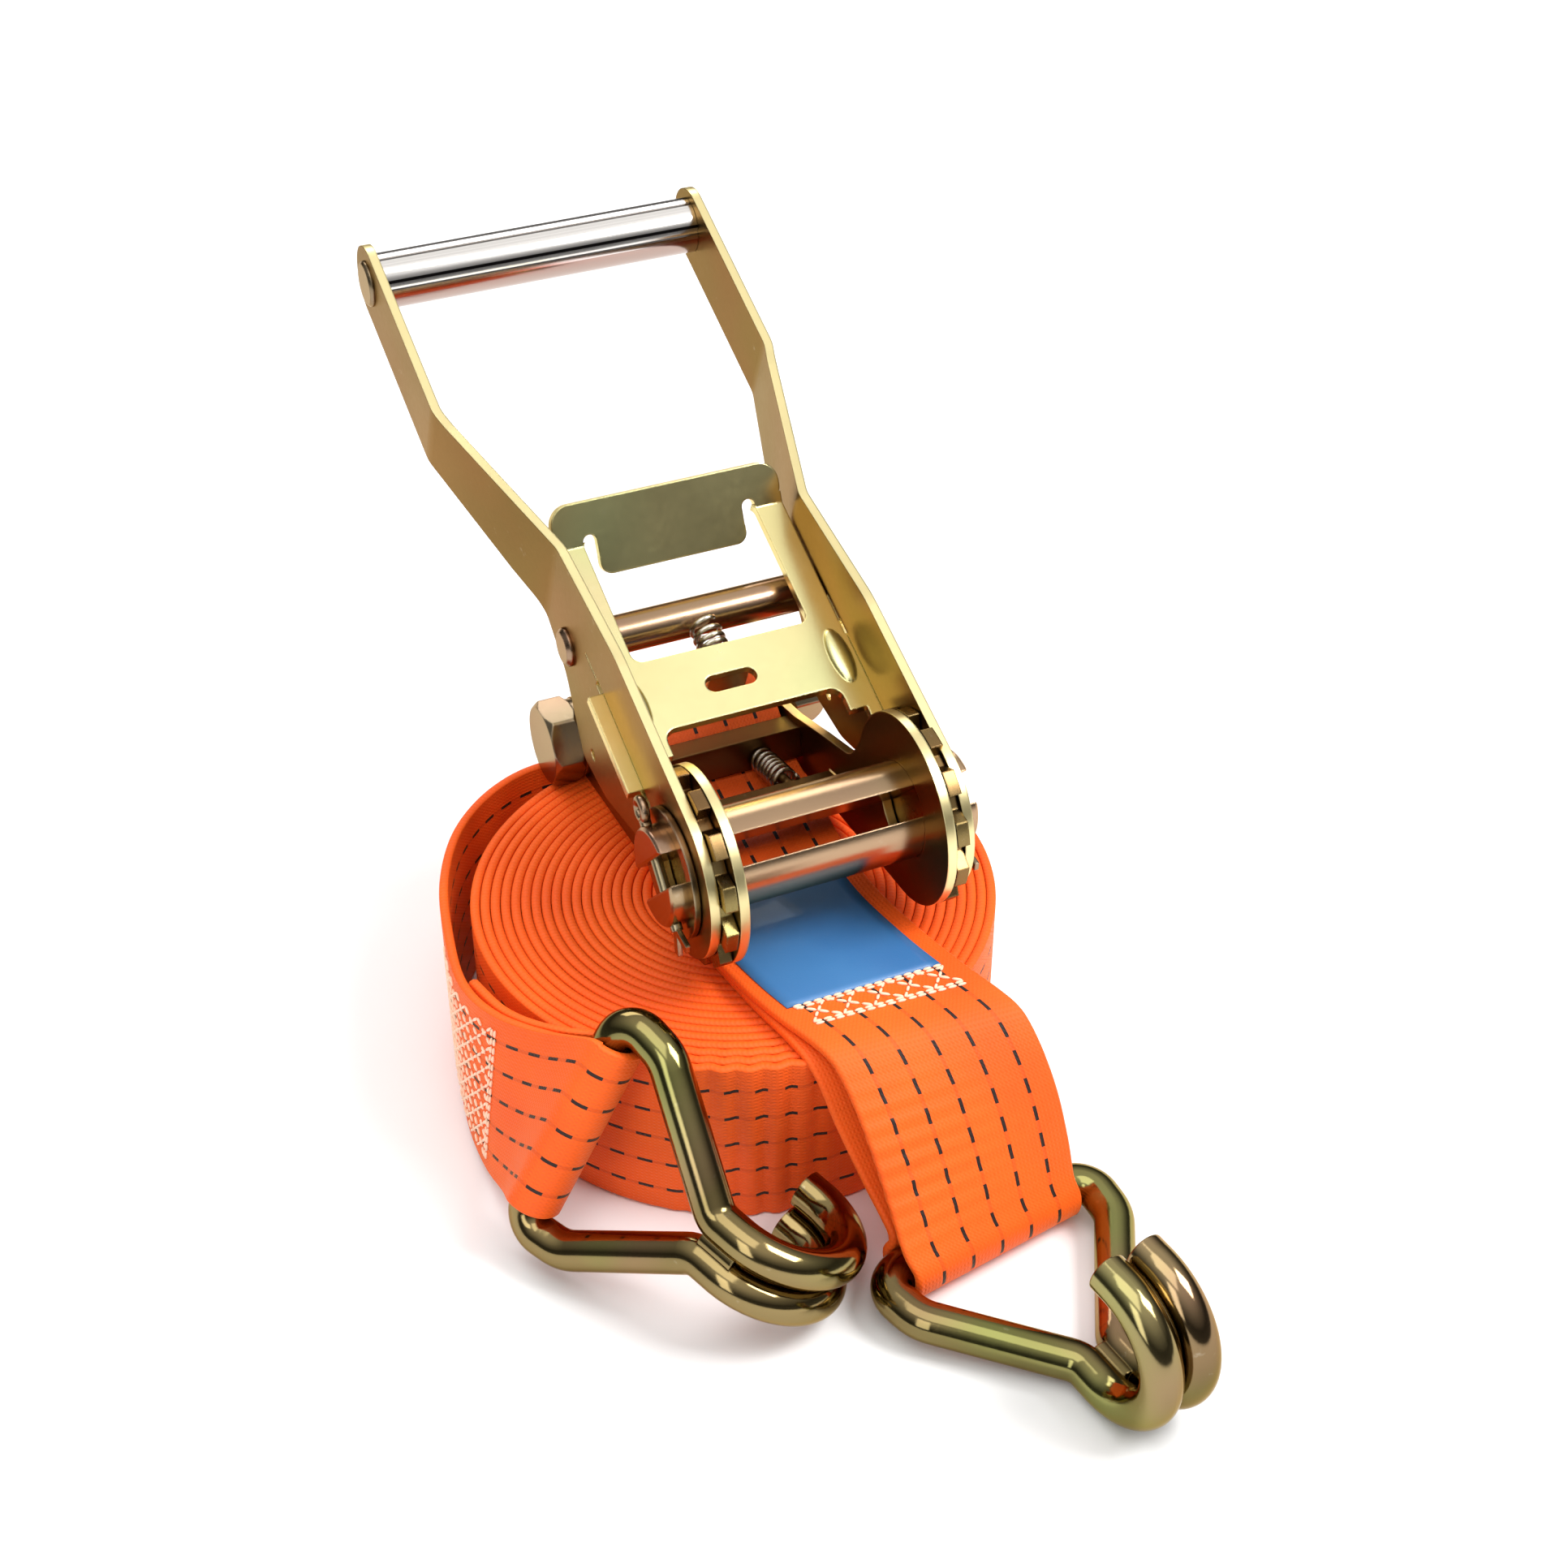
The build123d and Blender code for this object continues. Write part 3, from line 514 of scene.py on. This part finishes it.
def hook1_loop():
    """The strap's turn round the crossbar, from its outer side round to its inner side."""
    ahead = (HOOK1_REACHED - HOOK1_AXIS * HOOK1_REACHED.dot(HOOK1_AXIS)).normalized()
    outward = HOOK1_AXIS.cross(ahead).normalized()
    if outward.dot(Vector((HOOK1.x, HOOK1.y, 0))) < 0:
        outward = -outward
    rows = []
    for degrees in range(90, -91, -20):
        turn = math.radians(degrees)
        spoke = ahead * math.cos(turn) + outward * math.sin(turn)
        rows.append((HOOK1 + spoke * LOOP_RADIUS, HOOK1_AXIS.normalized()))
    return rows


def long_strap():
    """The whole long strap in one mesh, from the roll's eye to its end inside the loop."""
    wound = roll_rows()
    tail = [tail_row(k, TAIL_SINGLE_IN) for k in range(1, TAIL_DOUBLE)]
    tail += [tail_row(k, TAIL_OUTER_IN) for k in range(TAIL_DOUBLE, len(TAIL))]
    back = [tail_row(k, TAIL_INNER_IN) for k in reversed(range(TAIL_DOUBLE, len(TAIL)))]
    loose = smooth_rows([wound[-1]] + tail + hook1_loop() + back, 2.0)
    rows = wound + loose[1:]
    piece = ribbon("long_strap", rows, WEB_THICK)
    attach(piece, "roll")
    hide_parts("strap_roll", "strap_tail")
    length = path_lengths(rows)[-1] * MM
    return piece, Strap(loose)


def yawed(degrees):
    """A level direction, turned from +X."""
    turn = math.radians(degrees)
    return Vector((math.cos(turn), math.sin(turn), 0))


def short_rows():
    """One closed band: under the ratchet, round the sleeve, forward and down round the hook."""
    rear = [(Vector((10.3, 42, LOW)), yawed(0)), (Vector((10.5, 52, LOW)), yawed(0))]
    hold = SLEEVE_RADIUS + 0.2 + WEB_THICK / 2
    for degrees in range(-90, 91, 20):
        turn = math.radians(degrees)
        spoke = Vector((0, math.cos(turn), math.sin(turn)))
        rear.append((SLEEVE + spoke * hold, yawed(0)))
    rear.append((Vector((10.5, 50, TOP + 9.5)), yawed(0)))
    rear.append((Vector((10.3, 40, TOP + 2.2)), yawed(0)))
    front = [(Vector((x, y, z)), yawed(yaw)) for x, y, z, yaw in FRONT_LINE]
    across = yawed(HOOK2_YAW)
    forward = Vector((across.y, -across.x, 0))
    loop = []
    for degrees in range(30, -191, -20):
        turn = math.radians(degrees)
        spoke = forward * math.cos(turn) + UP * math.sin(turn)
        loop.append((HOOK2 + spoke * LOOP_RADIUS, across))
    back = [(Vector((x, y, z)), yawed(yaw)) for x, y, z, yaw in BACK_LINE]
    return smooth_rows(rear + front + loop + back, 1.1)


def short_strap():
    """The short strap, doubled from the anchor bolt to its hook."""
    rows = short_rows()
    line = Strap(rows)
    bend = line.nearest(BEND)

    def creases(along, u):
        """Fine pleats across the strap's upper front, deepest at its left edge."""
        past = along - bend
        if not 0 < past < CREASE_ZONE:
            return 0.0
        side = min(1.0, max(0.0, (CREASE_EDGE - u) / CREASE_FADE))
        fade = math.sin(math.pi * past / CREASE_ZONE) * side
        return CREASE_HIGH * fade * math.sin(math.tau * past / CREASE_STEP + 0.03 * u)

    piece = ribbon("short_strap_web", rows, WEB_THICK, creases)
    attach(piece, "roll")
    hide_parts("short_strap")
    length = path_lengths(rows)[-1] * MM
    return piece, line


def label(strap):
    """A thin blank patch sewn on the top layer, in front of the spool."""
    start = strap.nearest(LABEL_START)
    points, faces = [], []
    across, along = 12, 20
    under = -WEB_THICK / 2 - LABEL_GAP
    for high in (under, under - LABEL_THICK):
        for i in range(along + 1):
            for j in range(across + 1):
                u = LABEL_HALF * (2 * j / across - 1) + LABEL_SHIFT
                points.append(strap.at(start + LABEL_LONG * i / along, u, high))
    layer = (along + 1) * (across + 1)
    width = across + 1
    for i in range(along):
        for j in range(across):
            a = i * width + j
            faces.append((a + width, a + 1 + width, a + 1, a))
            faces.append((layer + a, layer + a + 1, layer + a + width + 1, layer + a + width))
    rim = list(range(width)) + [i * width + across for i in range(1, along + 1)]
    rim += [along * width + j for j in range(across - 1, -1, -1)]
    rim += [i * width for i in range(along - 1, 0, -1)]
    for a, b in zip(rim, rim[1:] + rim[:1]):
        faces.append((a, b, b + layer, a + layer))
    piece = mesh_object("blank_label", points, faces)
    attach(piece, "roll")
    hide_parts("label")
    return piece


def sewn(strap, start, end, rng):
    """Stitches along a straight seam from (along, u) to (along, u)."""
    (s0, u0), (s1, u1) = start, end
    # a strap's outer face is on the low side of its middle surface
    high = -WEB_THICK / 2 - THREAD_HIGH
    count = max(1, int(math.hypot(s1 - s0, u1 - u0) / STITCH))
    pairs = []
    for k in range(count):
        wander = rng.uniform(-0.12, 0.12)
        ends = []
        for share in (k / count, (k + STITCH_FILLED) / count):
            ends.append(strap.at(s0 + (s1 - s0) * share, u0 + (u1 - u0) * share + wander, high))
        pairs.append(tuple(ends))
    return pairs


def short_strap_stitching(strap):
    """A crossed box sewn over the strap in front of the label."""
    rng = random.Random(4)
    front = strap.nearest(BOX_FRONT)
    back = front - BOX_LONG
    pairs = []
    for along in (back, back + 0.9, front, front + 0.9):
        pairs += sewn(strap, (along, -BOX_HALF), (along, BOX_HALF), rng)
    for u in range(-BOX_HALF, BOX_HALF, BOX_CELL):
        pairs += sewn(strap, (back, u), (front, u + BOX_CELL), rng)
        pairs += sewn(strap, (front, u), (back, u + BOX_CELL), rng)
    piece = stitches("short_strap_stitching", pairs, THREAD_RADIUS)
    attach(piece, "roll")
    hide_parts("strap_stitching")
    return piece


def tail_stitching(strap):
    """Rows of crosses between two double seams, where the long strap's end is sewn down."""
    rng = random.Random(9)
    start = strap.nearest(SEWN_START)
    end = strap.nearest(SEWN_END)
    step = (end - start) / SEWN_ROWS
    pairs = []
    for along in (start, start + 1.1, end, end + 1.1):
        pairs += sewn(strap, (along, -SEWN_HALF), (along, SEWN_HALF), rng)
    for k in range(SEWN_ROWS):
        here = start + step * k
        for u in range(-SEWN_HALF, SEWN_HALF, SEWN_CELL):
            pairs += sewn(strap, (here, u), (here + step, u + SEWN_CELL), rng)
            pairs += sewn(strap, (here, u + SEWN_CELL), (here + step, u), rng)
    piece = stitches("tail_stitching", pairs, THREAD_RADIUS)
    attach(piece, "roll")
    return piece


# ---- springs ---------------------------------------------------------------------------------
def coil(name, base, axis, length, radius, turns, wire):
    """A compression spring with closed ends, as one closed tube."""
    axis = axis.normalized()
    side = axis.orthogonal().normalized()
    other = axis.cross(side)
    steps, sides = int(turns * 28), 8
    line = []
    for k in range(steps + 1):
        share = k / steps
        # the end turns lie flat
        eased = share + 0.035 * math.sin(math.tau * share)
        turn = math.tau * turns * share
        rise = wire + (length - 2 * wire) * min(1.0, max(0.0, eased))
        line.append(base + axis * rise + (side * math.cos(turn) + other * math.sin(turn)) * radius)
    points, faces = [], []
    for k, middle in enumerate(line):
        ahead = (line[min(k + 1, steps)] - line[max(k - 1, 0)]).normalized()
        out = (middle - base - axis * (middle - base).dot(axis)).normalized()
        lift = ahead.cross(out).normalized()
        for i in range(sides):
            turn = math.tau * i / sides
            points.append(middle + (out * math.cos(turn) + lift * math.sin(turn)) * wire)
    for k in range(steps):
        for i in range(sides):
            j = (i + 1) % sides
            faces.append((k * sides + i, k * sides + j, (k + 1) * sides + j, (k + 1) * sides + i))
    faces.append(tuple(range(sides - 1, -1, -1)))
    faces.append(tuple(steps * sides + i for i in range(sides)))
    return mesh_object(name, points, faces)


def sloping(degrees):
    """(along, front) of a frame turned about X: along it, and square to it on its upper side."""
    turn = math.radians(degrees)
    along = Vector((0, math.cos(turn), math.sin(turn)))
    front = Vector((0, -math.sin(turn), math.cos(turn)))
    return along, front


def drive_spring():
    """The pull plate's spring, as one coil along the handle."""
    along, front = sloping(HANDLE_ANGLE)
    seat = SPOOL + along * DRIVE_SEAT - front * DRIVE_DROP
    piece = coil("drive_spring_coil", seat, along, DRIVE_LONG, DRIVE_RADIUS, DRIVE_TURNS, DRIVE_WIRE)
    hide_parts("drive_spring")
    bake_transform(piece)
    return piece


def lock_springs():
    """The lock pawl's two springs, as coils attached to the roll."""
    along, front = sloping(-LOCK_SLOPE)
    seat = SPOOL + along * LOCK_SEAT - front * LOCK_DROP
    made = []
    for k, x in enumerate(LOCK_XS):
        foot = seat + Vector((x, 0, 0))
        piece = coil(f"lock_spring_coil_{k + 1}", foot, along, LOCK_LONG, LOCK_RADIUS, LOCK_TURNS,
                     LOCK_WIRE)
        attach(piece, "roll")
        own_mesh(piece)
        made.append(piece)
    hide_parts("lock_springs")
    return made


def springs(material):
    for piece in [drive_spring()] + lock_springs():
        piece.data.materials.append(material)


# ---- stage -----------------------------------------------------------------------------------
def camera():
    data = bpy.data.cameras.new("camera")
    data.sensor_width = SENSOR
    data.lens = LENS
    data.clip_start = 0.01
    piece = bpy.data.objects.new("camera", data)
    bpy.context.scene.collection.objects.link(piece)
    elevation, azimuth = math.radians(CAMERA_ELEVATION), math.radians(CAMERA_AZIMUTH)
    ahead = Vector((-math.sin(azimuth) * math.cos(elevation), math.cos(azimuth) * math.cos(elevation),
                    -math.sin(elevation)))
    right = Vector((math.cos(azimuth), math.sin(azimuth), 0))
    above = right.cross(ahead)
    place = (-ahead * CAMERA_AWAY + right * CAMERA_RIGHT + above * CAMERA_ABOVE) * MM
    turn = Matrix((right, above, -ahead)).transposed()
    piece.matrix_world = Matrix.Translation(place) @ turn.to_4x4()
    bpy.context.scene.camera = piece


def soft_light(name, place, size, power):
    """A white soft box, placed and sized in metres, that faces the ratchet."""
    data = bpy.data.lights.new(name, "AREA")
    data.shape = "RECTANGLE"
    data.size, data.size_y = size
    data.energy = power
    piece = bpy.data.objects.new(name, data)
    bpy.context.scene.collection.objects.link(piece)
    target = Vector((0.0, -0.02, 0.06))
    place = Vector(place)
    piece.location = place
    piece.rotation_euler = (target - place).to_track_quat("-Z", "Y").to_euler()


def floor():
    """A plain pale floor, just under the roll."""
    half = 30000.0
    signs = ((-1, -1), (1, -1), (1, 1), (-1, 1))
    corners = [Vector((x * half, y * half, -0.05)) for x, y in signs]
    piece = mesh_object("floor", corners, [(0, 1, 2, 3)], smooth=False)
    g = Graph("floor")
    g.link(g.mix(g.noise(1.5), (0.86, 0.86, 0.86), (0.90, 0.90, 0.90)), g.shader.inputs["Base Color"])
    g.set(Roughness=0.9)
    piece.data.materials.append(g.material)


def surroundings():
    """A studio that is bright overhead and dimmer towards the horizon."""
    world = bpy.data.worlds.new("studio")
    bpy.context.scene.world = world
    world.use_nodes = True
    tree = world.node_tree
    coords = tree.nodes.new("ShaderNodeTexCoord")
    split = tree.nodes.new("ShaderNodeSeparateXYZ")
    ramp = tree.nodes.new("ShaderNodeValToRGB")
    tree.links.new(coords.outputs["Generated"], split.inputs[0])
    tree.links.new(split.outputs[2], ramp.inputs[0])
    tree.links.new(ramp.outputs[0], tree.nodes["Background"].inputs[0])
    # (height above the horizon, brightness)
    stops = ((0.0, 0.14), (0.25, 0.08), (0.5, 0.40), (0.85, 1.15))
    elements = ramp.color_ramp.elements
    while len(elements) < len(stops):
        elements.new(0.5)
    for element, (place, level) in zip(elements, stops):
        element.position = place
        element.color = (level, level * 0.99, level * 0.97, 1)
    tree.nodes["Background"].inputs[1].default_value = 0.9
    # the paper backdrop that is seen directly
    backdrop = tree.nodes.new("ShaderNodeBackground")
    backdrop.inputs[0].default_value = (0.93, 0.93, 0.93, 1)
    chosen = tree.nodes.new("ShaderNodeMixShader")
    rays = tree.nodes.new("ShaderNodeLightPath")
    tree.links.new(rays.outputs["Is Camera Ray"], chosen.inputs[0])
    tree.links.new(tree.nodes["Background"].outputs[0], chosen.inputs[1])
    tree.links.new(backdrop.outputs[0], chosen.inputs[2])
    tree.links.new(chosen.outputs[0], tree.nodes["World Output"].inputs[0])


def stage():
    camera()
    floor()
    surroundings()
    soft_light("key", (0.60, -0.44, 0.97), (0.5, 0.5), 12.5)
    soft_light("top", (-0.30, -0.20, 1.25), (0.9, 0.9), 5.0)
    soft_light("fill", (-0.9, -0.7, 0.6), (0.35, 0.9), 3.0)
    soft_light("back", (0.1, 1.0, 0.8), (1.0, 0.4), 5.0)
    bpy.context.scene.view_settings.view_transform = "Standard"


# ---- build -----------------------------------------------------------------------------------
def soft_pieces():
    """Both straps, the label and the sewing."""
    web = webbing_material()
    thread = thread_material()
    long_piece, long_line = long_strap()
    short_piece, short_line = short_strap()
    for strap_piece in (long_piece, short_piece):
        strap_piece.data.materials.append(web)
    label(short_line).data.materials.append(label_material())
    short_strap_stitching(short_line).data.materials.append(thread)
    tail_stitching(long_line).data.materials.append(thread)


def metal_pieces():
    """Each metal part in its own tone of plating: light, deep, pink and green, then roughness. The side
    plates, wheels and hooks are darkened with painted shade.
    """
    pull_plate = plated_steel("yellow_zinc", (0.86, 0.78, 0.40), (0.78, 0.66, 0.30),
                              (0.86, 0.66, 0.44), (0.66, 0.74, 0.36), 0.24)
    # painted shade: the side plates' zinc is given a dark brown base colour for the dimmer surroundings
    # they reflect
    side_plate = plated_steel("shade_darkened_zinc", (0.245, 0.140, 0.055), (0.165, 0.098, 0.034),
                              (0.24, 0.095, 0.04), (0.16, 0.130, 0.035), 0.30,
                              # painted highlight: a pale colour on the sheared edges, where the rims
                              # catch the light
                              painted_edge_highlight=(0.82, 0.70, 0.36))
    bracket = plated_steel("bracket_zinc", (0.22, 0.125, 0.045), (0.13, 0.070, 0.025),
                           (0.22, 0.08, 0.03), (0.14, 0.110, 0.030), 0.30)
    # the hooks' dark olive base colour is partly their plating and partly painted shade, darkened for
    # their dark reflected bands
    hook = plated_steel("hook_zinc", (0.25, 0.185, 0.080), (0.13, 0.100, 0.038),
                        (0.46, 0.24, 0.18), (0.26, 0.32, 0.09), 0.09)
    shaft = plated_steel("shaft_zinc", (0.42, 0.28, 0.17), (0.28, 0.18, 0.11),
                         (0.46, 0.22, 0.22), (0.34, 0.28, 0.14), 0.2, (1, 12, 12))
    # painted shade: the wheels' dark brown base colour stands in for the shade they sit in between the
    # plates
    wheel = plated_steel("wheel_zinc", (0.24, 0.145, 0.060), (0.15, 0.090, 0.035),
                         (0.24, 0.10, 0.05), (0.30, 0.28, 0.10), 0.26)
    fastener = plated_steel("grey_zinc", (0.36, 0.270, 0.180), (0.22, 0.160, 0.100),
                            (0.34, 0.16, 0.11), (0.22, 0.220, 0.110), 0.20)
    wire = plated_steel("spring_wire", (0.52, 0.48, 0.42), (0.40, 0.36, 0.30),
                        (0.48, 0.30, 0.24), (0.36, 0.38, 0.28), 0.2)
    paint(pull_plate, "drive_pawl")
    paint(wheel, "ratchet_wheel_left", "ratchet_wheel_right")
    paint(side_plate, "handle_plate_left", "handle_plate_right", "base_plate_left",
          "base_plate_right")
    paint(bracket, "spring_bracket", "lock_pawl")
    paint(hook, "strap_hook", "long_strap_hook")
    paint(shaft, "half_shaft_upper", "half_shaft_lower", "spacer_tube")
    paint(fastener, "anchor_bolt", "anchor_nut", "anchor_washers", "anchor_sleeve",
          "shaft_washers", "cotter_pins", "grip_rod", "spacer_rod")
    paint(grip_material(), "grip_tube")
    springs(wire)


stage()
soft_pieces()
metal_pieces()
